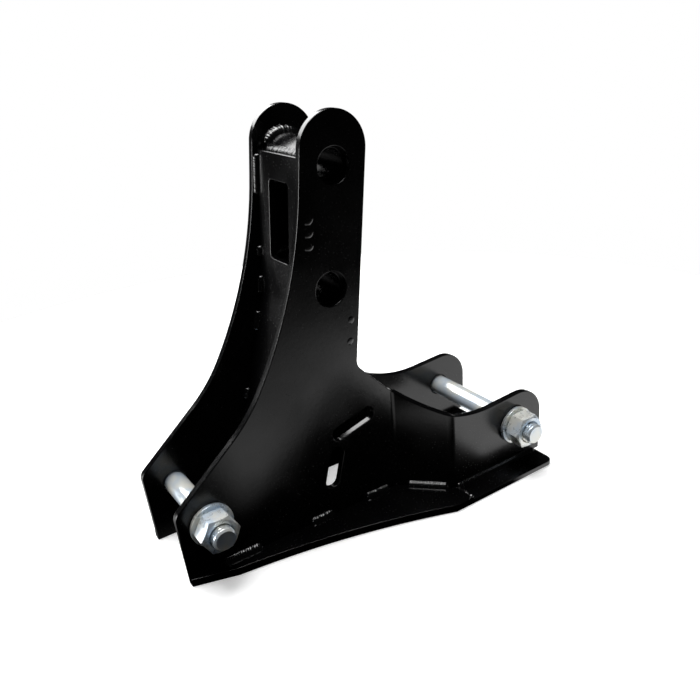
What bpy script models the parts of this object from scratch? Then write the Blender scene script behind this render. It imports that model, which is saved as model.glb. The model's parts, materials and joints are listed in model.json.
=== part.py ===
"""Quick coupler for a small excavator: a welded steel frame with two clamping bolts.

Two laser-cut side plates stand 55 mm apart. Two cross tubes, a front web and a rear web join
them into a box. The near plate is joggled outwards at the heel, so that the two rear ears stand
further apart than the cheeks. A wing and a rear strip along the foot of each plate carry the
load on the ground. One M16 bolt passes through the toe and one through the ears.

Frame of the design: X from toe to heel, Y from the near plate to the far plate, Z up from the
ground. Y is zero half way between the cheeks. Everything hangs on the empty called datum, which
moves the whole coupler so that the world origin is the bottom centre of its bounding box.
"""

import math

import bmesh
import bpy

# Driving dimensions, in metres and degrees.
GAP = 0.0003                  # between faces that touch
CHEEK_OUTER_WIDTH = 0.0650    # over the outer faces of the two cheeks
PLATE_T = 0.0050              # side plates
WEB_T = 0.0050                # front web
REAR_WEB_T = 0.0040
WING_T = 0.0060
STRIP_T = 0.0040

TOP_CENTRE = (-0.0224, 0.2617)  # centre of the round top of the cheek
TOP_R = 0.0238
LEAN = 6.8                    # the cheek leans back towards the heel
TOE_STRAIGHT = 0.0226         # straight run below the round top, toe side
SWEEP_R = 0.3050              # long hollow curve of the toe side
SWEEP_TURN = 24.5
KNEE_R = 0.1100               # tighter curve that ends it
KNEE_TURN = 18.5
TOE_RUN = 0.0550              # straight slope down to the nose
NOSE_R = 0.0080
TOE_FACE_RAKE = 3.0           # the toe face leans back under the nose

NECK_Z = 0.1200               # where the heel-side edge ends in its fillet
NECK_FILLET_R = 0.0100
SHOULDER_SLOPE = 46.0         # slope of the shoulder below the fillet
SHOULDER_RUN = 0.0320
SHOULDER_R = 0.0930           # hollow curve from the shoulder to the ear
EAR_RISE = 3.5                # the ear's top edge climbs a little towards its end
EAR_R = 0.0240
REAR_X = 0.1352               # rear end of the ears and of the rear strips

BEND_X = 0.0125               # first bend of the near plate, on its outer face
JOGGLE = 0.0299               # how far the near ear stands out from the near cheek
BEND_ANGLE = 45.0
NOTCH = 0.0016                # relief notch at the top end of each bend
SEAM_X = 0.0455               # butt joint between wing and rear strip

PIN_HOLE_D = 0.0230           # pin holes in the cheeks
PIN_BORE_D = 0.0200           # bores of the cross tubes
UPPER_PIN = (-0.0233, 0.2522)
UPPER_TUBE_D = 0.0300
LOWER_PIN = (-0.0317, 0.1750)
LOWER_TUBE_D = 0.0280

WEB_LEAN_UPPER = 5.2          # front web, above its bend
WEB_LEAN_LOWER = 15.9         # front web, below its bend
WEB_BEND_Z = 0.1640
WEB_TOP_Z = 0.2590            # the front web rises in front of the upper cross tube
WEB_FOOT_Z = 0.0200
WEB_TO_TUBE = 0.0003          # clearance from either web to the lower cross tube
WINDOW_Z = (0.1905, 0.2420)   # window in the front web
WINDOW_WIDTH = 0.0240
REAR_WEB_Z = (0.1000, 0.2260)

WING_START = 0.0010           # width of a wing where it leaves the toe
WING_CORNER = (0.0300, 0.0105)  # first corner: behind the toe, and out from the plate
WING_CORNER_SLOPE = 6.3
WING_END_X = 0.0305           # where the hollow edge of a wing reaches its full width
STRIP_OUTSIDE = 0.0196        # strip outside its ear
STRIP_INSIDE = 0.0080         # strip inside its ear
STRIP_CORNER_R = 0.0060
STRIP_SHORT = 0.0040          # the ear overhangs the rear end of its strip

SLOT_WIDTH = 0.0110           # two plain lightening slots in each cheek
SLOTS = (                     # centre X, centre Z, length, tilt
    (-0.0220, 0.0720, 0.0360, 15.0),
    (-0.0400, 0.0430, 0.0320, 75.0),
)

BOLT_D = 0.0160               # M16 bolts, head on the far side
BOLT_HOLE_D = 0.0175
TOE_BOLT = (-0.1365, 0.0413)
HEEL_BOLT = (0.1066, 0.0367)
HEX_AF = 0.0240
NUT_H = 0.0130
HEAD_H = 0.0100
NUT_CLEARANCE = 0.0003        # between the thread and the nut, each side
WASHER_D = 0.0300
WASHER_HOLE_D = 0.0170
WASHER_T = 0.0030
BOLT_STICK_OUT = 0.0060       # thread beyond the nut

BEAD = 0.0048                 # leg of a fillet weld
SMALL_BEAD = 0.0032
TUBE_BEAD = 0.0055            # round the upper cross tube
BULGE = 0.62                  # how full a bead is, as a share of its leg
UPPER_TUBE_ARC = (-100.0, 150.0)   # the upper tube's weld leaves out the front web
LOWER_TUBE_ARC = (55.0, 128.0)     # the lower tube's weld lies between the two webs
WING_BEAD_START = 0.0100      # from the toe
WEB_BEAD_MARGIN = 0.0080      # from either end of a web
BEAD_MARGIN = 0.0010          # from a plate's end or the seam

SEGMENTS = 32                 # sides of a round piece
CUT = 0.0040                  # how far a cutter passes its piece

HALF = CHEEK_OUTER_WIDTH / 2
INNER_HALF = HALF - PLATE_T
NEAR_EAR_Y = -HALF - JOGGLE   # outer face of the near ear
RAMP = JOGGLE / math.tan(math.radians(BEND_ANGLE))
BEND_SHIFT = PLATE_T * math.tan(math.radians(BEND_ANGLE / 2))
SECOND_BEND_X = BEND_X + RAMP
EAR_FOOT_Z = STRIP_T + GAP
STRIP_END_X = REAR_X - STRIP_SHORT
HEEL_DOWN = 270.0 - LEAN      # heading down either long edge of the cheek


# Finishes.

def finish(name, colour, roughness, metallic):
    material = bpy.data.materials.new(name)
    material.use_nodes = True
    shader = material.node_tree.nodes["Principled BSDF"]
    shader.inputs["Base Color"].default_value = (*colour, 1.0)
    shader.inputs["Roughness"].default_value = roughness
    shader.inputs["Metallic"].default_value = metallic
    material.diffuse_color = (*colour, 1.0)
    return material


# Outlines in a plane, as lists of (first, second) coordinates.

class Pen:
    """Walks along an outline: straight runs and arcs that follow on from each other."""

    def __init__(self, first, second, heading):
        self.points = [(first, second)]
        self.heading = heading

    def run(self, length):
        first, second = self.points[-1]
        angle = math.radians(self.heading)
        self.points.append((first + length * math.cos(angle), second + length * math.sin(angle)))

    def run_to_height(self, height):
        self.run((height - self.points[-1][1]) / math.sin(math.radians(self.heading)))

    def run_to_reach(self, reach):
        self.run((reach - self.points[-1][0]) / math.cos(math.radians(self.heading)))

    def arc(self, radius, turn, step=9.0):
        """Turns left by turn degrees, or right where turn is negative."""
        pieces = max(2, math.ceil(abs(turn) / step))
        chord = 2 * radius * math.sin(math.radians(abs(turn) / pieces / 2))
        for _ in range(pieces):
            self.heading += turn / pieces / 2
            self.run(chord)
            self.heading += turn / pieces / 2


def on_top_circle(angle):
    return (
        TOP_CENTRE[0] + TOP_R * math.cos(math.radians(angle)),
        TOP_CENTRE[1] + TOP_R * math.sin(math.radians(angle)),
    )


def toe_side():
    """From the top down the toe side of the cheek to the ground."""
    pen = Pen(*on_top_circle(180 - LEAN), HEEL_DOWN)
    pen.run(TOE_STRAIGHT)
    pen.arc(SWEEP_R, -SWEEP_TURN, 3.5)
    pen.arc(KNEE_R, -KNEE_TURN, 4.7)
    pen.run(TOE_RUN)
    pen.arc(NOSE_R, 270 + TOE_FACE_RAKE - pen.heading, 14.0)
    pen.run_to_height(0.0)
    return pen.points


def heel_side():
    """From the top down the heel side, over the shoulder and the ear, to the ear's foot."""
    pen = Pen(*on_top_circle(-LEAN), HEEL_DOWN)
    pen.run_to_height(NECK_Z)
    pen.arc(NECK_FILLET_R, 360 - SHOULDER_SLOPE - pen.heading, 13.0)
    pen.run(SHOULDER_RUN)
    pen.arc(SHOULDER_R, SHOULDER_SLOPE + EAR_RISE, 7.0)
    pen.run_to_reach(REAR_X - EAR_R * (1 + math.sin(math.radians(EAR_RISE))))
    pen.arc(EAR_R, -90 - EAR_RISE, 9.0)
    pen.points[-1] = (REAR_X, pen.points[-1][1])
    pen.heading = -90.0
    pen.run_to_height(EAR_FOOT_Z)
    return pen.points


def side_plate_outline():
    """The flat blank of a side plate, counterclockwise, seen from the near side."""
    toe = toe_side()
    heel = heel_side()
    foot = [(SEAM_X, 0.0), (SEAM_X, EAR_FOOT_Z)]
    top = Pen(*on_top_circle(-LEAN), 90 - LEAN)
    top.arc(TOP_R, 180.0, 9.0)
    return toe + foot + heel[::-1] + top.points[1:-1]


TOE_X = toe_side()[-1][0]
NOSE_X = min(point[0] for point in toe_side())


# Building blocks.

def new_object(name, mesh, material, location=(0, 0, 0)):
    piece = bpy.data.objects.new(name, mesh)
    bpy.context.scene.collection.objects.link(piece)
    piece.parent = datum
    piece.location = location
    if material:
        mesh.materials.append(material)
    return piece


def finish_mesh(name, shape):
    bmesh.ops.recalc_face_normals(shape, faces=shape.faces)
    mesh = bpy.data.meshes.new(name)
    shape.to_mesh(mesh)
    shape.free()
    return mesh


def add_prism(shape, outline, low, high, axis):
    """Adds an outline swept from low to high along axis Y or Z to a bmesh."""
    def place(point, along):
        return (point[0], along, point[1]) if axis == "Y" else (point[0], point[1], along)

    lower = [shape.verts.new(place(point, low)) for point in outline]
    upper = [shape.verts.new(place(point, high)) for point in outline]
    shape.faces.new(lower)
    shape.faces.new(upper[::-1])
    for here in range(len(outline)):
        there = (here + 1) % len(outline)
        shape.faces.new((lower[here], lower[there], upper[there], upper[here]))


def prism(name, outline, low, high, axis, material):
    shape = bmesh.new()
    add_prism(shape, outline, low, high, axis)
    return new_object(name, finish_mesh(name, shape), material)


def circle_outline(centre, radius, segments=SEGMENTS, phase=0.0):
    return [
        (
            centre[0] + radius * math.cos(phase + 2 * math.pi * k / segments),
            centre[1] + radius * math.sin(phase + 2 * math.pi * k / segments),
        )
        for k in range(segments)
    ]


def slot_outline(centre, length, width, tilt):
    """An obround: two half circles joined by straight sides."""
    points = []
    reach = (length - width) / 2
    turn = math.radians(tilt)
    for end, first in ((1, -90), (-1, 90)):
        for k in range(9):
            angle = math.radians(first + 22.5 * k)
            x = end * reach + width / 2 * math.cos(angle)
            z = width / 2 * math.sin(angle)
            points.append((
                centre[0] + x * math.cos(turn) - z * math.sin(turn),
                centre[1] + x * math.sin(turn) + z * math.cos(turn),
            ))
    return points


def cut(target, cutter_name, outline, low, high, axis="Y"):
    """Cuts an outline through the target with a hidden tool and an exact Boolean."""
    cutter = prism(cutter_name, outline, low, high, axis, None)
    cutter.hide_render = True
    cutter.display_type = "WIRE"
    modifier = target.modifiers.new(cutter_name, "BOOLEAN")
    modifier.operation = "DIFFERENCE"
    modifier.solver = "EXACT"
    modifier.object = cutter


def shade_round(piece):
    piece.data.shade_smooth()
    piece.data.set_sharp_from_angle(angle=math.radians(35))


def ring(name, inner_r, outer_r, low, high, material, location):
    """A tube or a washer along Y, about its own origin."""
    shape = bmesh.new()
    loops = []
    for radius, along in ((inner_r, low), (outer_r, low), (outer_r, high), (inner_r, high)):
        loops.append([
            shape.verts.new((point[0], along, point[1]))
            for point in circle_outline((0, 0), radius)
        ])
    for k, loop in enumerate(loops):
        following = loops[(k + 1) % len(loops)]
        for here in range(SEGMENTS):
            there = (here + 1) % SEGMENTS
            shape.faces.new((loop[here], loop[there], following[there], following[here]))
    piece = new_object(name, finish_mesh(name, shape), material, location)
    shade_round(piece)
    return piece


def bead_section(leg):
    """Corner points of a fillet weld: out along one face, up the other, root first."""
    full = GAP + BULGE * leg
    return ((GAP, GAP), (GAP + leg, GAP), (full, full), (GAP, GAP + leg))


def bead(name, lines):
    """A weld bead swept between its long edges, each a list of points of equal count."""
    shape = bmesh.new()
    edges = [[shape.verts.new(point) for point in line] for line in lines]
    shape.faces.new([edge[0] for edge in edges])
    shape.faces.new([edge[-1] for edge in edges[::-1]])
    for k, edge in enumerate(edges):
        following = edges[(k + 1) % len(edges)]
        for here in range(len(edge) - 1):
            shape.faces.new((edge[here], edge[here + 1], following[here + 1], following[here]))
    return new_object(name, finish_mesh(name, shape), black)


# Side plates.

def joggled(x, y):
    """Y of a point of the near plate once its heel end is joggled outwards."""
    across = (y + HALF) / PLATE_T
    past = x - (BEND_X + across * BEND_SHIFT)
    return y - min(max(past, 0.0), RAMP) * math.tan(math.radians(BEND_ANGLE))


def height_of_top_edge(x):
    """Height of the heel side's top edge at x, between the neck and the ear."""
    line = heel_side()
    for (x0, z0), (x1, z1) in zip(line, line[1:]):
        if x0 < x <= x1 and z0 < NECK_Z:
            return z0 + (z1 - z0) * (x - x0) / (x1 - x0)
    return EAR_FOOT_Z


def near_side_plate_mesh():
    shape = bmesh.new()
    add_prism(shape, side_plate_outline(), -HALF, -HALF + PLATE_T, "Y")
    for x in (BEND_X, SECOND_BEND_X):
        bmesh.ops.bisect_plane(
            shape,
            geom=shape.verts[:] + shape.edges[:] + shape.faces[:],
            plane_co=(x, -HALF, 0),
            plane_no=(PLATE_T, -BEND_SHIFT, 0),
            dist=1e-7,
        )
    for vert in shape.verts:
        vert.co.y = joggled(vert.co.x, vert.co.y)
    return finish_mesh("near_side_plate", shape)


def cut_side_plate(plate, side, low, high, ear_low, ear_high):
    for label, centre, diameter in (
        ("upper_pin_hole", UPPER_PIN, PIN_HOLE_D),
        ("lower_pin_hole", LOWER_PIN, PIN_HOLE_D),
        ("toe_bolt_hole", TOE_BOLT, BOLT_HOLE_D),
    ):
        cut(plate, f"{side}_{label}", circle_outline(centre, diameter / 2), low, high)
    cut(plate, f"{side}_heel_bolt_hole", circle_outline(HEEL_BOLT, BOLT_HOLE_D / 2), ear_low, ear_high)
    for k, (x, z, length, tilt) in enumerate(SLOTS):
        cut(plate, f"{side}_slot_{k + 1}", slot_outline((x, z), length, SLOT_WIDTH, tilt), low, high)


def side_plates():
    near = new_object("near_side_plate", near_side_plate_mesh(), black)
    cut_side_plate(near, "near", -HALF - CUT, -INNER_HALF + CUT,
                   NEAR_EAR_Y - CUT, NEAR_EAR_Y + PLATE_T + CUT)
    for k, x in enumerate((BEND_X, SECOND_BEND_X)):
        z = height_of_top_edge(x)
        notch = [(x - NOTCH, z + 2 * NOTCH), (x, z - NOTCH), (x + NOTCH, z + 2 * NOTCH)]
        cut(near, f"bend_notch_{k + 1}", notch, NEAR_EAR_Y - CUT, -INNER_HALF + CUT)
    far = prism("far_side_plate", side_plate_outline(), INNER_HALF, HALF, "Y", black)
    cut_side_plate(far, "far", INNER_HALF - CUT, HALF + CUT, INNER_HALF - CUT, HALF + CUT)


# Cross tubes and webs.

def cross_tubes():
    for name, centre, diameter in (
        ("upper_cross_tube", UPPER_PIN, UPPER_TUBE_D),
        ("lower_cross_tube", LOWER_PIN, LOWER_TUBE_D),
    ):
        ring(name, PIN_BORE_D / 2, diameter / 2, -INNER_HALF + GAP, INNER_HALF - GAP,
             black, (centre[0], 0, centre[1]))


def web_front_x(z):
    """X of the front face of the front web at height z."""
    upper = math.tan(math.radians(WEB_LEAN_UPPER))
    lower = math.tan(math.radians(WEB_LEAN_LOWER))
    stand_off = LOWER_TUBE_D / 2 + WEB_TO_TUBE + WEB_T
    at_tube = LOWER_PIN[0] - stand_off / math.cos(math.radians(WEB_LEAN_UPPER))
    if z >= WEB_BEND_Z:
        return at_tube + (z - LOWER_PIN[1]) * upper
    return at_tube + (WEB_BEND_Z - LOWER_PIN[1]) * upper + (z - WEB_BEND_Z) * lower


def web_depth(z):
    """Thickness of the front web measured along X."""
    lean = WEB_LEAN_UPPER if z >= WEB_BEND_Z else WEB_LEAN_LOWER
    return WEB_T / math.cos(math.radians(lean))


def front_web():
    levels = (WEB_TOP_Z, WEB_BEND_Z, WEB_FOOT_Z)
    front = [(web_front_x(z), z) for z in levels]
    back = [(web_front_x(z) + web_depth(z), z) for z in levels]
    web = prism("front_web", front + back[::-1], -INNER_HALF + GAP, INNER_HALF - GAP, "Y", black)
    low, high = WINDOW_Z
    side = WINDOW_WIDTH / 2
    window = [(-1, low), (1, low), (1, high), (-1, high)]
    near_x = web_front_x(low) - CUT
    far_x = web_front_x(high) + WEB_T + CUT
    outline = [(near_x if end < 0 else far_x, z) for end, z in window]
    cut(web, "web_window", outline, -side, side)


def rear_web_face(z):
    """X of the face of the rear web that looks at the lower cross tube."""
    lean = math.radians(LEAN)
    stand_off = (LOWER_TUBE_D / 2 + WEB_TO_TUBE) / math.cos(lean)
    return LOWER_PIN[0] + stand_off + (z - LOWER_PIN[1]) * math.tan(lean)


def rear_web():
    low, high = REAR_WEB_Z
    depth = REAR_WEB_T / math.cos(math.radians(LEAN))
    outline = [
        (rear_web_face(low), low), (rear_web_face(low) + depth, low),
        (rear_web_face(high) + depth, high), (rear_web_face(high), high),
    ]
    prism("rear_web", outline, -INNER_HALF + GAP, INNER_HALF - GAP, "Y", black)


# Wings and rear strips, drawn in plan as (X, distance out from the middle plane).

def plate_face(joggle, offset):
    """The outer face of a side plate in plan, moved out by offset, from toe to seam."""
    shift = offset * math.tan(math.radians(BEND_ANGLE / 2))
    face = [(TOE_X, HALF + offset)]
    if joggle:
        face += [(BEND_X - shift, HALF + offset), (SECOND_BEND_X - shift, HALF + joggle + offset)]
    return face + [(SEAM_X, HALF + joggle + offset)]


def hollow_edge(start, slope, end, pieces=12):
    """An arc from start to end that leaves start at the given slope."""
    chord = math.atan2(end[1] - start[1], end[0] - start[0])
    half_turn = chord - math.radians(slope)
    length = math.hypot(end[0] - start[0], end[1] - start[1])
    radius = length / 2 / math.sin(half_turn)
    pen = Pen(*start, slope)
    pen.arc(radius, math.degrees(2 * half_turn), math.degrees(2 * half_turn) / pieces)
    return pen.points


def wing(name, side, joggle):
    inner = plate_face(joggle, GAP)
    full = HALF + joggle + STRIP_OUTSIDE
    corner = (TOE_X + WING_CORNER[0], HALF + (WING_CORNER[1] if joggle else WING_CORNER[1] / 2))
    edge = hollow_edge(corner, WING_CORNER_SLOPE if joggle else 0.5, (WING_END_X, full))
    outer = [(TOE_X, HALF + GAP + WING_START)] + edge + [(SEAM_X, full)]
    outline = [(x, side * y) for x, y in inner + outer[::-1]]
    prism(name, outline, 0.0, WING_T, "Z", black)


def strip_corner(full):
    """The rounded outer rear corner of a rear strip."""
    centre = (STRIP_END_X - STRIP_CORNER_R, full - STRIP_CORNER_R)
    return [
        (
            centre[0] + STRIP_CORNER_R * math.cos(math.radians(22.5 * k)),
            centre[1] + STRIP_CORNER_R * math.sin(math.radians(22.5 * k)),
        )
        for k in range(5)
    ]


def rear_strip(name, side, joggle):
    low = INNER_HALF + joggle - STRIP_INSIDE
    full = HALF + joggle + STRIP_OUTSIDE
    start = SEAM_X + GAP
    outline = [(start, low), (STRIP_END_X, low)] + strip_corner(full) + [(start, full)]
    prism(name, [(x, side * y) for x, y in outline], 0.0, STRIP_T, "Z", black)


# Weld metal.

def tube_weld(name, centre, diameter, arc, leg, side):
    """The weld between a cross tube and the inner face of one cheek."""
    angles = [arc[0] + (arc[1] - arc[0]) * k / 24 for k in range(25)]
    lines = []
    for out, up in bead_section(leg):
        radius = diameter / 2 + out
        lines.append([
            (
                centre[0] + radius * math.cos(math.radians(angle)),
                side * (INNER_HALF - up),
                centre[1] + radius * math.sin(math.radians(angle)),
            )
            for angle in angles
        ])
    bead(name, lines)


def front_web_weld(name, side):
    """The weld up the corner between the front web and one cheek, with the web's bend."""
    levels = (WEB_TOP_Z - WEB_BEAD_MARGIN, WEB_BEND_Z, WEB_FOOT_Z + WEB_BEAD_MARGIN)
    level_out = 1 / math.cos(math.radians(WEB_LEAN_LOWER))
    bead(name, [
        [(web_front_x(z) - level_out * out, side * (INNER_HALF - up), z) for z in levels]
        for out, up in bead_section(SMALL_BEAD)
    ])


def rear_web_weld(name, side):
    low, high = REAR_WEB_Z
    levels = (low + WEB_BEAD_MARGIN, high - WEB_BEAD_MARGIN)
    depth = REAR_WEB_T / math.cos(math.radians(LEAN))
    bead(name, [
        [(rear_web_face(z) + depth + out, side * (INNER_HALF - up), z) for z in levels]
        for out, up in bead_section(SMALL_BEAD)
    ])


def wing_weld(name, side, joggle):
    """The weld along the top of a wing, against the outer face of its side plate."""
    lines = []
    for out, up in bead_section(BEAD):
        line = plate_face(joggle, out)
        line[0] = (TOE_X + WING_BEAD_START, line[0][1])
        line[-1] = (SEAM_X - BEAD_MARGIN, line[-1][1])
        lines.append([(x, side * y, WING_T + up) for x, y in line])
    bead(name, lines)


def strip_weld(name, side, joggle):
    ends = (SEAM_X + BEAD_MARGIN, STRIP_END_X - BEAD_MARGIN)
    bead(name, [
        [(x, side * (HALF + joggle + out), STRIP_T + up) for x in ends]
        for out, up in bead_section(SMALL_BEAD)
    ])


def seam_weld(name, side, joggle):
    """The short bead across the butt joint between a wing and its rear strip."""
    wing_top = WING_T + GAP
    strip_top = STRIP_T + GAP
    section = [
        (SEAM_X - BEAD, wing_top), (SEAM_X + 2 * GAP, wing_top), (SEAM_X + 2 * GAP, strip_top),
        (SEAM_X + 1.3 * BEAD, strip_top), (SEAM_X + 0.8 * BEAD, wing_top + 0.15 * BEAD),
        (SEAM_X + 0.2 * BEAD, wing_top + 0.40 * BEAD), (SEAM_X - 0.5 * BEAD, wing_top + 0.35 * BEAD),
    ]
    low = HALF + joggle + BEAD + 4 * GAP
    high = HALF + joggle + STRIP_OUTSIDE
    prism(name, section, *sorted((side * low, side * high)), "Y", black)


def welds():
    for label, side, joggle in SIDES:
        tube_weld(f"upper_tube_{label}_weld", UPPER_PIN, UPPER_TUBE_D, UPPER_TUBE_ARC,
                  TUBE_BEAD, side)
        tube_weld(f"lower_tube_{label}_weld", LOWER_PIN, LOWER_TUBE_D, LOWER_TUBE_ARC,
                  SMALL_BEAD, side)
        front_web_weld(f"front_web_{label}_weld", side)
        rear_web_weld(f"rear_web_{label}_weld", side)
        wing_weld(f"{label}_wing_weld", side, joggle)
        strip_weld(f"{label}_strip_weld", side, joggle)
        seam_weld(f"{label}_seam_weld", side, joggle)


# Bolts, nuts and washers. Each one's origin lies on its bolt's axis.

def hexagon(across_flats):
    return circle_outline((0, 0), across_flats / math.sqrt(3), 6, math.pi / 6)


def bolt(name, head_y, tip_y, location):
    """A hexagon bolt along Y with its head on the far side."""
    shape = bmesh.new()
    shank = [
        [shape.verts.new((p[0], y, p[1])) for p in circle_outline((0, 0), radius)]
        for radius, y in (
            (BOLT_D / 2 - 0.0012, tip_y), (BOLT_D / 2, tip_y + 0.0012), (BOLT_D / 2, head_y),
        )
    ]
    shape.faces.new(shank[0])
    for lower, upper in zip(shank, shank[1:]):
        for here in range(SEGMENTS):
            there = (here + 1) % SEGMENTS
            shape.faces.new((lower[here], lower[there], upper[there], upper[here]))
    corners = [shape.verts.new((p[0], head_y, p[1])) for p in hexagon(HEX_AF)]
    top = [shape.verts.new((p[0], head_y + HEAD_H, p[1])) for p in hexagon(HEX_AF)]
    shape.faces.new(top)
    for here in range(6):
        there = (here + 1) % 6
        shape.faces.new((corners[here], corners[there], top[there], top[here]))
    rim = [shape.edges.get((shank[-1][k], shank[-1][(k + 1) % SEGMENTS])) for k in range(SEGMENTS)]
    rim += [shape.edges.get((corners[k], corners[(k + 1) % 6])) for k in range(6)]
    bmesh.ops.triangle_fill(shape, edges=rim, use_beauty=True)
    piece = new_object(name, finish_mesh(name, shape), zinc, location)
    shade_round(piece)


def nut(name, low_y, location):
    """A hexagon nut along Y, from low_y to low_y + NUT_H, with a clearance bore."""
    shape = bmesh.new()
    rims = []
    for y in (low_y, low_y + NUT_H):
        outer = [shape.verts.new((p[0], y, p[1])) for p in hexagon(HEX_AF)]
        bore = [
            shape.verts.new((p[0], y, p[1]))
            for p in circle_outline((0, 0), BOLT_D / 2 + NUT_CLEARANCE)
        ]
        edges = [shape.edges.new((outer[k], outer[(k + 1) % 6])) for k in range(6)]
        edges += [shape.edges.new((bore[k], bore[(k + 1) % SEGMENTS])) for k in range(SEGMENTS)]
        bmesh.ops.triangle_fill(shape, edges=edges, use_beauty=True)
        rims.append((outer, bore))
    for lower, upper in zip(rims[0], rims[1]):
        count = len(lower)
        for here in range(count):
            there = (here + 1) % count
            shape.faces.new((lower[here], lower[there], upper[there], upper[here]))
    piece = new_object(name, finish_mesh(name, shape), zinc, location)
    shade_round(piece)


def clamping_set(label, axis, near_face):
    """One bolt with its nut and two washers, clamping from near_face to the far cheek."""
    location = (axis[0], 0, axis[1])
    washer = (WASHER_HOLE_D / 2, WASHER_D / 2)
    near_washer = near_face - GAP
    nut_low = near_washer - WASHER_T - GAP - NUT_H
    far_washer = HALF + GAP
    head_y = far_washer + WASHER_T + GAP
    bolt(f"{label}_bolt", head_y, nut_low - BOLT_STICK_OUT, location)
    nut(f"{label}_nut", nut_low, location)
    ring(f"{label}_nut_washer", *washer, near_washer - WASHER_T, near_washer, zinc, location)
    ring(f"{label}_head_washer", *washer, far_washer, far_washer + WASHER_T, zinc, location)


def bolt_tip_y():
    return NEAR_EAR_Y - 2 * GAP - WASHER_T - NUT_H - BOLT_STICK_OUT


SIDES = (("near", -1, JOGGLE), ("far", 1, 0.0))

for old in list(bpy.data.objects):
    bpy.data.objects.remove(old, do_unlink=True)

near_limit = min(bolt_tip_y(), NEAR_EAR_Y - STRIP_OUTSIDE)
far_limit = max(HALF + STRIP_OUTSIDE, HALF + 2 * GAP + WASHER_T + HEAD_H)
datum = bpy.data.objects.new("datum", None)
datum.location = (-(NOSE_X + REAR_X) / 2, -(near_limit + far_limit) / 2, 0)
bpy.context.scene.collection.objects.link(datum)

black = finish("black_powder_coat", (0.012, 0.012, 0.013), 0.28, 0.0)
zinc = finish("bright_zinc_plate", (0.72, 0.76, 0.82), 0.26, 1.0)

side_plates()
cross_tubes()
front_web()
rear_web()
for label, side, joggle in SIDES:
    wing(f"{label}_wing", side, joggle)
    rear_strip(f"{label}_rear_strip", side, joggle)
welds()
clamping_set("toe", TOE_BOLT, -HALF)
clamping_set("heel", HEEL_BOLT, NEAR_EAR_Y)
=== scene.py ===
# %% [markdown]
# # A quick coupler for a small excavator
# The object is a welded frame of laser-cut steel with two clamping bolts across it. The frame is
# coated in gloss black powder, and the bolts are plated with bright zinc. This lesson dresses the
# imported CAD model: every visible piece is built again with the rounded edges, bends, weld ripples
# and threads of the real one, and rides on the CAD body that it belongs to.

import json
import math
import random

import bmesh
import bpy
from mathutils import Matrix, Vector

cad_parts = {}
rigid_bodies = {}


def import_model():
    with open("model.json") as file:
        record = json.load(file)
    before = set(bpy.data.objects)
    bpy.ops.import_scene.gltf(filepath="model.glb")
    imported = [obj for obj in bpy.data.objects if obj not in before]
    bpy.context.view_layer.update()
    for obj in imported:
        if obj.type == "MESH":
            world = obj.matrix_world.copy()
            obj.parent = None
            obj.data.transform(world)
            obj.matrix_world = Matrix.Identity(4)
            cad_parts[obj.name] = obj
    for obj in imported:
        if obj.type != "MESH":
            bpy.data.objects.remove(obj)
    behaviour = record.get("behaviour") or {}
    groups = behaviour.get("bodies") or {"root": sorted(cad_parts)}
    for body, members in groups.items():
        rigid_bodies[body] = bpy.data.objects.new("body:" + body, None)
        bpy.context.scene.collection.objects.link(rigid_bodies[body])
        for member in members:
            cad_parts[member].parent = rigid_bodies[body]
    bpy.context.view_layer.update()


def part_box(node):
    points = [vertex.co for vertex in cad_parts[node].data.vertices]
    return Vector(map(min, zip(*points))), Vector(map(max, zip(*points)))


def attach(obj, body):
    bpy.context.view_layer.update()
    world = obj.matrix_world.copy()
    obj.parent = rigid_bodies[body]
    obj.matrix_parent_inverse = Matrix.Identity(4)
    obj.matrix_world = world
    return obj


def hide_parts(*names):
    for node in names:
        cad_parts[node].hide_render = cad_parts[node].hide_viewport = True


for leftover in list(bpy.data.objects):
    bpy.data.objects.remove(leftover, do_unlink=True)
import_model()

# %% [markdown]
# Every piece is drawn in the coupler's own design frame: X from toe to heel, Y from the near plate
# to the far plate, Z up, with Y = 0 half way between the cheeks. The upper cross tube tells where
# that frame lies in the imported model, so one vector, datum, places every piece.

# %% Where the design frame lies
UPPER_PIN = (-0.0233, 0.2522)
LOWER_PIN = (-0.0317, 0.1750)


def middle_of(node):
    low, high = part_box(node)
    return (low + high) / 2


datum = middle_of("upper_cross_tube") - Vector((UPPER_PIN[0], 0, UPPER_PIN[1]))
print("datum in millimetres:", [round(1000 * part, 2) for part in datum])

# %% [markdown]
# The main sizes. Plates are 5 mm, the wings 6 mm and the strips 4 mm. Sizes that can be read off
# the CAD boxes are read there, so the looks follow the frame if it is packed again.

# %% Main sizes
HALF = 0.0325                  # middle plane to the outer face of a cheek
PLATE_T = 0.0050
INNER_HALF = HALF - PLATE_T
WING_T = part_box("near_wing")[1].z
STRIP_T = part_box("near_rear_strip")[1].z
REAR_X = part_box("far_side_plate")[1].x - datum.x
JOGGLE = -HALF - (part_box("near_side_plate")[0].y - datum.y)
STRIP_END_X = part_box("near_rear_strip")[1].x - datum.x
SEAM_X = 0.0455
BEND_X = 0.0125
BEND_END_X = BEND_X + JOGGLE
GAP = 0.0003
print("ear stands out by", round(1000 * JOGGLE, 2), "mm; ears end at", round(1000 * REAR_X, 2), "mm")

# %% [markdown]
# Shader maths reads best as plain expressions. Value wraps one output socket, and its operators
# add Math nodes. node() makes any other node: its settings go in first, then its sockets, which
# take either a plain number or the output of another node.


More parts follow.
